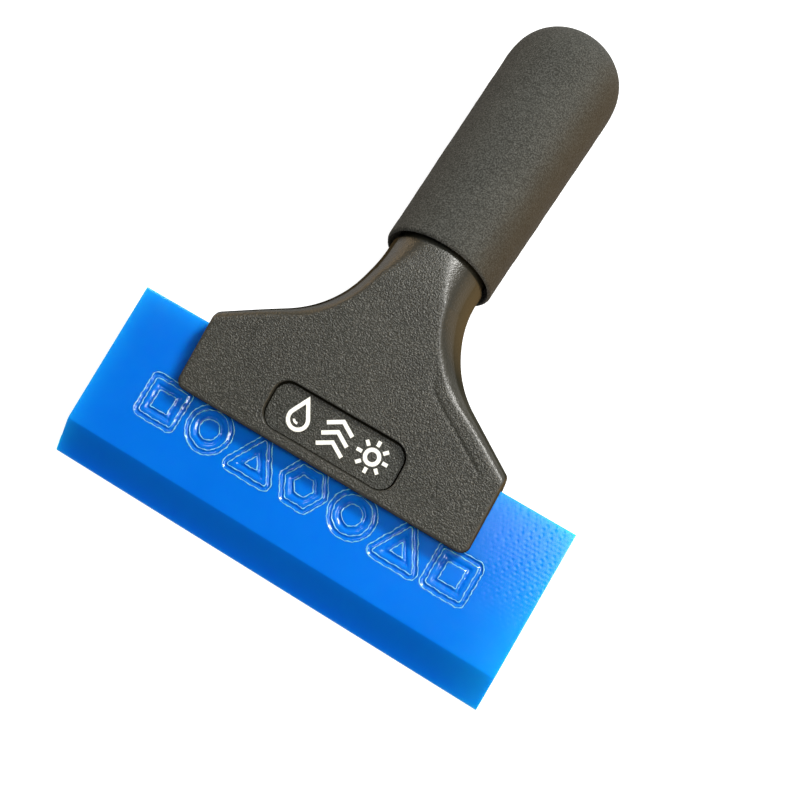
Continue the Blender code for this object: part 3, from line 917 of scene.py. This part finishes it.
def cross_recess_mesh(width, depth, name):
    """One tapered arm of a cross recess."""
    top = -SCREW_HEAD_HEIGHT - 0.001
    floor = -SCREW_HEAD_HEIGHT + CROSS_DEPTH
    rings = []
    for y, grow in ((top, 1.12), (-SCREW_HEAD_HEIGHT, 1.0), (floor, 0.62)):
        x, z = width / 2 * grow, depth / 2 * grow
        corners = [(-x, -z), (x, -z), (x, z), (-x, z)]
        rings.append(np.array([(cx, y, cz) for cx, cz in corners]))
    return ring_mesh(rings, name)


def add_screws(material):
    for number, (x, y) in enumerate(SCREW_PLACES, 1):
        place = upright(x, y, back_z(y) + SCREW_SINK - GAP)
        name = f"pan_head_screw_{number}"
        mesh = turned(screw_profile(), THREAD_SIDES, name, thread_waver)
        screw = add_piece(name, mesh, material, f"screw_{number}", place, FASTENER_SMOOTH_ANGLE)
        arms = (CROSS_ARM, CROSS_ARM[::-1])
        cut(screw, [cutter(cross_recess_mesh(*size, "cross"), place) for size in arms])
        sharpen(screw, FASTENER_SMOOTH_ANGLE)
        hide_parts(f"clamp_screw_{number}")


def knurl_waver(turns, along, radius):
    """Crossing helical grooves on the insert's outside."""
    if radius < INSERT_RADIUS:
        return np.zeros(len(turns))
    left = np.abs(np.sin(KNURL_STARTS * turns + along * KNURL_TWIST))
    right = np.abs(np.sin(KNURL_STARTS * turns - along * KNURL_TWIST))
    return KNURL_DEPTH * (left * right - 1)


def add_inserts(material):
    for number, (x, y) in enumerate(SCREW_PLACES, 1):
        down, inset = INSERT_CHAMFER
        profile = [(0, INSERT_BORE_RADIUS), (0, INSERT_RADIUS - inset)]
        for along in np.linspace(down, INSERT_LENGTH - down, INSERT_ROWS):
            in_waist = INSERT_WAIST[0] < along < INSERT_WAIST[1]
            profile.append((along, INSERT_WAIST_RADIUS if in_waist else INSERT_RADIUS))
        profile += [(INSERT_LENGTH, INSERT_RADIUS - inset), (INSERT_LENGTH, INSERT_BORE_RADIUS)]
        name = f"knurled_insert_{number}"
        mesh = turned(profile, INSERT_SIDES, name, knurl_waver)
        place = upright(x, y, GAP - BLADE_THICK)
        insert = add_piece(name, mesh, material, "handle", place, FASTENER_SMOOTH_ANGLE)
        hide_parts(f"threaded_insert_{number}")


# -------- printed marks

INK_THICK = 0.00005
INK_SINK = 0.00002
STROKE = 0.00105


def stroke_mesh(bm, points, width, closed=False):
    """A thin flat line of ink along the points, as one closed solid."""
    count = len(points)
    spots = [Vector(p) for p in points]
    rows = []
    for i, spot in enumerate(spots):
        ways = []
        if closed or i > 0:
            ways.append((spot - spots[i - 1]).normalized())
        if closed or i < count - 1:
            ways.append((spots[(i + 1) % count] - spot).normalized())
        way = (ways[0] + ways[-1]).normalized()
        reach = width / 2 / max(way.dot(ways[0]), 0.3)
        side = Vector((-way.y, way.x)) * reach
        left, right = spot + side, spot - side
        corners = [(left, -INK_SINK), (right, -INK_SINK), (right, INK_THICK), (left, INK_THICK)]
        rows.append([bm.verts.new((p.x, p.y, z)) for p, z in corners])
    for one, two in zip(rows, rows[1:] + rows[:closed]):
        for i in range(4):
            j = (i + 1) % 4
            bm.faces.new((one[i], one[j], two[j], two[i]))
    if not closed:
        bm.faces.new(rows[0][::-1])
        bm.faces.new(rows[-1])


def arc_points(cx, cy, radius, start, end, steps):
    angles = [radians(start + (end - start) * i / steps) for i in range(steps + 1)]
    return [(cx + radius * cos(a), cy + radius * sin(a)) for a in angles]


def drop_mark(bm, cx, cy):
    """A water drop with a glint inside it."""
    bottom = arc_points(cx, cy - 0.0012, 0.0026, 155, 385, 28)
    stroke_mesh(bm, [(cx, cy + 0.0042)] + bottom, STROKE, closed=True)
    stroke_mesh(bm, arc_points(cx, cy - 0.0012, 0.0010, 200, 290, 8), STROKE * 0.6)


def chevron_mark(bm, cx, cy):
    """Three chevrons that point across the blade."""
    for i in range(3):
        y = cy - 0.0040 + 0.0029 * i
        stroke_mesh(bm, [(cx - 0.0037, y), (cx, y + 0.0022), (cx + 0.0037, y)], STROKE)


def sun_mark(bm, cx, cy):
    """A ring with eight rays."""
    stroke_mesh(bm, arc_points(cx, cy, 0.0018, 0, 345, 23), STROKE, closed=True)
    for i in range(8):
        turn = radians(45 * i)
        way = Vector((cos(turn), sin(turn)))
        spot = Vector((cx, cy))
        stroke_mesh(bm, [spot + way * 0.0029, spot + way * 0.0044], STROKE * 0.9)


def add_label_marks(material):
    bm = bmesh.new()
    drop_mark(bm, -0.0100, 0.0)
    chevron_mark(bm, 0.0005, 0.0)
    sun_mark(bm, 0.0109, 0.0)
    bmesh.ops.recalc_face_normals(bm, faces=bm.faces)
    mesh = bpy.data.meshes.new("label_marks")
    bm.to_mesh(mesh)
    bm.free()
    place = label_place() @ Matrix.Translation((0, 0, -LABEL_DEPTH))
    add_piece("label_marks", mesh, material, "handle", place, smooth_angle=30)


# -------- materials


class Nodes:
    """Builds a material's node tree a step at a time."""

    def __init__(self, name):
        self.material = bpy.data.materials.new(name)
        self.material.use_nodes = True
        self.tree = self.material.node_tree
        self.shader = self.tree.nodes["Principled BSDF"]
        self.place = self.add("ShaderNodeTexCoord").outputs["Object"]

    def add(self, kind, **settings):
        node = self.tree.nodes.new(kind)
        for key, value in settings.items():
            setattr(node, key, value)
        return node

    def feed(self, socket, value):
        """Sets a socket to a number or a colour, or links an output to it."""
        if isinstance(value, (int, float)):
            socket.default_value = value
        elif isinstance(value, tuple):
            socket.default_value = (*value, 1.0)
        else:
            self.tree.links.new(value, socket)

    def texture(self, kind, output, inputs, **settings):
        node = self.add(kind, **settings)
        for key, value in inputs.items():
            self.feed(node.inputs[key], value)
        self.feed(node.inputs["Vector"], self.place)
        return node.outputs[output]

    def noise(self, scale, detail=2.0, roughness=0.5):
        inputs = {"Scale": scale, "Detail": detail, "Roughness": roughness}
        return self.texture("ShaderNodeTexNoise", "Fac", inputs)

    def cells(self, scale, feature="F1"):
        return self.texture("ShaderNodeTexVoronoi", "Distance", {"Scale": scale}, feature=feature)

    def attribute(self, name):
        return self.add("ShaderNodeAttribute", attribute_name=name).outputs["Fac"]

    def ramp(self, value, stops):
        node = self.add("ShaderNodeValToRGB")
        elements = node.color_ramp.elements
        while len(elements) < len(stops):
            elements.new(0.5)
        for element, (spot, colour) in zip(elements, stops):
            element.position = spot
            element.color = (*colour, 1.0)
        self.feed(node.inputs["Fac"], value)
        return node.outputs["Color"]

    def span(self, value, low, high, to_low=0.0, to_high=1.0):
        node = self.add("ShaderNodeMapRange", clamp=True)
        limits = {"From Min": low, "From Max": high, "To Min": to_low, "To Max": to_high}
        for key, number in {**limits, "Value": value}.items():
            self.feed(node.inputs[key], number)
        return node.outputs["Result"]

    def maths(self, operation, first, second):
        node = self.add("ShaderNodeMath", operation=operation)
        for socket, value in zip(node.inputs, (first, second)):
            self.feed(socket, value)
        return node.outputs["Value"]

    def mix(self, factor, first, second):
        node = self.add("ShaderNodeMix", data_type="RGBA", blend_type="MIX")
        sockets = [s for s in node.inputs if s.enabled]
        for socket, value in zip(sockets, (factor, first, second)):
            self.feed(socket, value)
        return next(s for s in node.outputs if s.enabled)

    def bump(self, height, distance, strength):
        node = self.add("ShaderNodeBump")
        for key, value in (("Distance", distance), ("Strength", strength), ("Height", height)):
            self.feed(node.inputs[key], value)
        return node.outputs["Normal"]

    def set(self, **values):
        """Sets the shader's inputs, with an underscore for each space in a name."""
        for key, value in values.items():
            self.feed(self.shader.inputs[key.replace("_", " ")], value)


# How squarely a point faces the front or back where the ridges end and where the flats begin
ON_FACE = (0.90, 0.985)


def black_plastic():
    """Spark-textured moulding: fine grain on the faces, worn ridges, and painted warm reflection on
    the sides.

    mark_faces stores facing, painted_warm_reflection and painted_shade, which darkens sides turned
    away."""
    n = Nodes("black_plastic")
    n.set(IOR=1.5, Specular_IOR_Level=0.4)
    facing = n.attribute("facing")
    # The sides get a painted warm reflection, a brown mixed into the base colour
    sides = n.span(n.attribute("painted_warm_reflection"), 0.66, 0.98)
    grain = n.noise(2600, 1.5, 0.6)
    pebbles = n.cells(2200, "SMOOTH_F1")
    height = n.maths("ADD", grain, n.maths("MULTIPLY", pebbles, 0.6))
    n.set(Normal=n.bump(height, 0.00028, n.span(facing, *ON_FACE, 0.30, 1.0)))
    dark = n.ramp(n.noise(70, 3.0), [(0.3, (0.017, 0.017, 0.0125)), (0.7, (0.025, 0.024, 0.0180))])
    speck = n.maths("MULTIPLY", n.span(grain, 0.50, 0.74), n.span(facing, *ON_FACE, 0.1, 0.9))
    colour = n.mix(speck, dark, (0.115, 0.113, 0.098))
    # Painted shade: the sides turned away from the light, and the recess's groove, are darkened
    shade = n.maths("MULTIPLY", n.attribute("painted_shade"), 0.5)
    painted_shade = n.mix(shade, colour, (0.010, 0.009, 0.006))
    n.set(Base_Color=n.mix(sides, painted_shade, (0.050, 0.037, 0.019)))
    n.set(Roughness=n.span(facing, *ON_FACE, 0.37, 0.50))
    n.set(Specular_IOR_Level=n.span(facing, 0.45, 0.85, 0.0, 0.50))
    return n.material


def blue_urethane():
    """Cast urethane: deep in the middle, with painted light where light comes in through its edges.

    mark_edges stores painted_bevel_shade (painted shade), edge (painted light) and bead (painted
    glint)."""
    n = Nodes("blue_urethane")
    n.set(Roughness=0.16, IOR=1.5, Subsurface_Weight=0.6, Subsurface_Scale=0.005)
    n.shader.inputs["Subsurface Radius"].default_value = (0.1, 0.6, 1.0)
    deep = n.ramp(n.noise(38), [(0.3, (0.0, 0.130, 0.58)), (0.7, (0.001, 0.145, 0.62))])
    # The bevel is painted darker, as shade
    painted_bevel_shade = n.mix(n.attribute("painted_bevel_shade"), deep, (0.0, 0.100, 0.45))
    # Painted light near the ends and top edge, for light let in through the translucent urethane
    lit = n.mix(n.attribute("edge"), painted_bevel_shade, (0.008, 0.40, 0.84))
    # The beads are painted pale, as a glint along the relief's edges
    n.set(Base_Color=n.mix(n.attribute("bead"), lit, (0.18, 0.70, 1.0)))
    n.set(Roughness=n.span(n.noise(260, 3.0), 0.3, 0.7, 0.13, 0.19))
    n.set(Normal=n.bump(n.noise(700), 0.00002, 0.2))
    return n.material


def grip_foam():
    """Closed-cell foam rubber with a dusty, fine-celled skin, and painted warm bounce light along
    its sides.
    """
    n = Nodes("grip_foam")
    n.set(Roughness=0.95, Specular_IOR_Level=0.2)
    grain = n.noise(2500, 3.0, 0.6)
    cells = n.cells(2600)
    stops = [(0.3, (0.019, 0.019, 0.016)), (0.7, (0.025, 0.025, 0.021))]
    base = n.ramp(n.noise(90, 3.0), stops)
    pale = n.mix(n.span(grain, 0.40, 0.70, 0.0, 0.9), base, (0.080, 0.080, 0.072))
    dark = n.mix(n.span(cells, 0.55, 0.15, 0.0, 0.4), pale, (0.015, 0.015, 0.013))
    # Painted warm bounce light and shade along the sides
    n.set(Base_Color=n.mix(n.attribute("painted_warm_bounce"), dark, (0.020, 0.012, 0.002)))
    height = n.maths("ADD", grain, n.maths("MULTIPLY", cells, 0.5))
    n.set(Normal=n.bump(height, 0.00018, 0.9))
    return n.material


def metal(name, grain, detail, colours, shine, roughness):
    """Turned metal with a fine uneven shine."""
    n = Nodes(name)
    n.set(Metallic=1.0, Roughness=shine)
    streak = n.noise(grain, detail)
    n.set(Base_Color=n.ramp(streak, list(zip((0.3, 0.7), colours))))
    n.set(Roughness=n.span(streak, 0.3, 0.7, *roughness))
    return n.material


def stainless():
    colours = ((0.56, 0.56, 0.55), (0.68, 0.68, 0.66))
    return metal("stainless", 1400, 2.0, colours, 0.28, (0.22, 0.36))


def brass():
    colours = ((0.70, 0.50, 0.20), (0.82, 0.61, 0.27))
    return metal("brass", 700, 3.0, colours, 0.32, (0.26, 0.40))


def white_ink():
    """Screen-printed cream ink, slightly thin over the grain below it."""
    n = Nodes("white_ink")
    n.set(Roughness=0.5)
    wear = n.noise(1800, 3.0)
    n.set(Base_Color=n.ramp(wear, [(0.25, (0.74, 0.71, 0.62)), (0.45, (0.90, 0.88, 0.80))]))
    n.set(Normal=n.bump(wear, 0.00003, 0.4))
    return n.material


def floor_paint():
    n = Nodes("floor_paint")
    n.set(Roughness=0.9, Emission_Strength=0.9, Emission_Color=(1, 1, 1))
    n.set(Base_Color=n.ramp(n.noise(3), [(0.3, (0.30, 0.30, 0.30)), (0.7, (0.32, 0.32, 0.32))]))
    return n.material


# -------- marks for the materials

# How far a side has turned away where its marks, painted shade among them, start and where they are
# full
TURN_LEFT = (0.15, 0.60)
TURN_RIGHT = (0.50, 0.68)
# The painted shade's strength on the left and right sides
SHADE_LEFT = 1.4
SHADE_RIGHT = 1.1
LEFT_FACING_LOSS = 0.1
# How much of the painted warm reflection the head's straight ends get, and where it reaches full
HEAD_SIDE_SHARE = 0.85
HEAD_SIDE_Y = (0.044, 0.050)
RECESS_MARGIN = 0.001
RECESS_LEAST_FACING = 0.88
FLOOR_FACING = 0.985
GROOVE_FACING = 0.4
# The painted shade in the groove round the recess's floor, darker than on the sides
GROOVE_SHADE = 2
# The painted light in the blade's right, left and top edges, standing in for light let in
# through the translucent urethane, as (strength, how far it falls off)
GLOW_RIGHT = (0.52, 0.0065)
GLOW_LEFT = (0.45, 0.0022)
GLOW_TOP = (0.50, 0.0024)


def store(obj, name, values):
    layer = obj.data.attributes.new(name, "FLOAT", "POINT")
    layer.data.foreach_set("value", np.asarray(values, np.float32))


def blade_axes(mesh):
    """The mesh's points and normals in the blade's own axes."""
    points, normals = np.zeros((2, len(mesh.vertices), 3))
    mesh.vertices.foreach_get("co", points.ravel())
    mesh.vertices.foreach_get("normal", normals.ravel())
    turn = np.array(REST.to_3x3())
    return (points - np.array(REST.translation)) @ turn, normals @ turn


def mark_faces(obj):
    """Stores how squarely each point faces the front or back or a side, and its painted shade.

    The label's recess has no painted reflection or shade of its own, and painted shade darkens the
    groove round its floor."""
    points, normals = blade_axes(obj.data)
    to_right, front = normals[:, 0], np.abs(normals[:, 2])
    off = np.abs(points[:, :2] - (0, LABEL_CENTRE_Y))
    inside = np.all(off < np.array(LABEL_SIZE) / 2 + RECESS_MARGIN, axis=1)
    recess = inside & (points[:, 2] > GAP)
    sunk = FRONT_Z + FRONT_SLOPE * (points[:, 1] - HEAD_BOTTOM_Y) - points[:, 2]
    groove = recess & (sunk > 1.02 * LABEL_DEPTH + LABEL_GROOVE_ROUND / 2)
    left = smooth_step(-to_right, *TURN_LEFT)
    facing = front - LEFT_FACING_LOSS * left
    facing = np.where(recess, np.maximum(front, RECESS_LEAST_FACING), facing)
    facing = np.where(recess & (sunk > 0.9 * LABEL_DEPTH), FLOOR_FACING, facing)
    store(obj, "facing", np.where(groove, GROOVE_FACING, facing))
    share = HEAD_SIDE_SHARE + (1 - HEAD_SIDE_SHARE) * smooth_step(points[:, 1], *HEAD_SIDE_Y)
    # The painted warm reflection on the sides, none in the recess
    store(obj, "painted_warm_reflection", np.where(recess, 0, np.abs(to_right) * share))
    # Painted shade on the sides turned away from the light, darkest in the groove
    painted_shade = np.maximum(SHADE_LEFT * left, SHADE_RIGHT * smooth_step(to_right, *TURN_RIGHT))
    store(obj, "painted_shade", np.where(groove, GROOVE_SHADE, np.where(recess, 0, painted_shade)))


def mark_foam(sleeve):
    """Stores where the foam is painted brown along its sides, as warm bounce light and shade."""
    right = blade_axes(sleeve.data)[1][:, 0]
    painted_warm_bounce = 0.75 * smooth_step(right, 0.45, 1.0) + 0.5 * smooth_step(-right, 0.85, 1.0)
    store(sleeve, "painted_warm_bounce", painted_warm_bounce)


def mark_edges(blade, beads_start):
    """Stores the painted light that stands in for light gathered through the blade's ends and top
    edge.

    It also stores which points are beads, for their painted glint, and which take the painted shade
    on the bevel."""
    points, _ = blade_axes(blade.data)
    x, y = points[:, 0] - BLADE_SHIFT, points[:, 1]
    half = BLADE_WIDTH / 2
    # Painted light, fading in from the ends and the top edge
    edges = ((half - x, GLOW_RIGHT), (half + x, GLOW_LEFT), (BLADE_HEIGHT - y, GLOW_TOP))
    glow = sum(strength * np.exp(-away / fall) for away, (strength, fall) in edges)
    store(blade, "edge", np.clip(glow, 0, 1))
    # Which points are beads, for their painted glint
    store(blade, "bead", np.arange(len(points)) >= beads_start)
    # Painted shade on the bevel
    store(blade, "painted_bevel_shade", y < BLADE_BEVEL_HEIGHT + 0.0002)


# -------- studio


STUDIO_MIDDLE = (0.0, 0.0, 0.01)
WHITE = (1.0, 1.0, 1.0)
WARM = (1.0, 0.72, 0.42)
# Each light's name, place, target, size, power and colour
LIGHTS = (
    ("key", (0.255, 0.322, 0.495), STUDIO_MIDDLE, (0.11, 0.11), 6.3, (1.0, 0.985, 0.95)),
    ("fill", (0.40, -0.10, 0.75), STUDIO_MIDDLE, (0.20, 0.20), 3.2, WHITE),
    ("top", (0.13, -0.05, 0.85), (0.13, -0.05, 0.0), (0.26, 0.32), 1.1, (0.80, 0.95, 1.0)),
    ("warm_left", (-0.60, 0.15, 0.10), STUDIO_MIDDLE, (0.5, 0.16), 1.4, WARM),
    ("warm_right", (0.60, -0.15, 0.08), STUDIO_MIDDLE, (0.5, 0.14), 2.2, WARM),
    ("left_fill", (-0.45, 0.05, 0.70), STUDIO_MIDDLE, (0.20, 0.20), 1.0, WHITE),
)
# The world's strength as a light, and as the camera sees it behind the floor
WORLD_LIGHT = 0.03
WORLD_SEEN = 0.92


def add_floor():
    far = FLOOR_SIZE
    corners = [(-far, -far, 0), (far, -far, 0), (far, far, 0), (-far, far, 0)]
    mesh = mesh_of(corners, [(0, 1, 2, 3)], "floor")
    floor = linked("floor", mesh)
    mesh.materials.append(floor_paint())


def add_area_light(name, place, target, size, power, colour):
    data = bpy.data.lights.new(name, "AREA")
    data.shape = "RECTANGLE"
    data.size, data.size_y = size
    data.energy = power
    data.color = colour
    lamp = linked(name, data)
    lamp.location = place
    way = Vector(target) - Vector(place)
    lamp.rotation_euler = way.to_track_quat("-Z", "Y").to_euler()


def add_studio():
    for light in LIGHTS:
        add_area_light(*light)
    world = bpy.data.worlds.new("studio")
    bpy.context.scene.world = world
    world.use_nodes = True
    tree = world.node_tree
    background = tree.nodes["Background"]
    background.inputs["Color"].default_value = (*WHITE, 1.0)
    seen = tree.nodes.new("ShaderNodeMapRange")
    seen.inputs["To Min"].default_value = WORLD_LIGHT
    seen.inputs["To Max"].default_value = WORLD_SEEN
    path = tree.nodes.new("ShaderNodeLightPath")
    tree.links.new(path.outputs["Is Camera Ray"], seen.inputs["Value"])
    tree.links.new(seen.outputs["Result"], background.inputs["Strength"])


def add_camera():
    data = bpy.data.cameras.new("camera")
    data.lens = CAMERA_LENS
    data.sensor_width = 36
    data.clip_start = 0.01
    data.clip_end = 20
    camera = linked("camera", data)
    forward = (Vector(CAMERA_TARGET) - Vector(CAMERA_PLACE)).normalized()
    right = forward.cross(Vector(CAMERA_UP)).normalized()
    axes = Matrix((right, right.cross(forward), -forward)).transposed().to_4x4()
    camera.matrix_world = REST @ Matrix.Translation(CAMERA_PLACE) @ axes
    bpy.context.scene.camera = camera


def main():
    bpy.context.scene.view_settings.view_transform = "Standard"
    plastic = black_plastic()
    mark_faces(add_handle_body(plastic))
    mark_faces(add_rear_clamp_plate(plastic))
    add_blade(blue_urethane())
    mark_foam(add_grip_sleeve(grip_foam()))
    add_screws(stainless())
    add_inserts(brass())
    add_label_marks(white_ink())
    add_floor()
    add_studio()
    add_camera()


main()
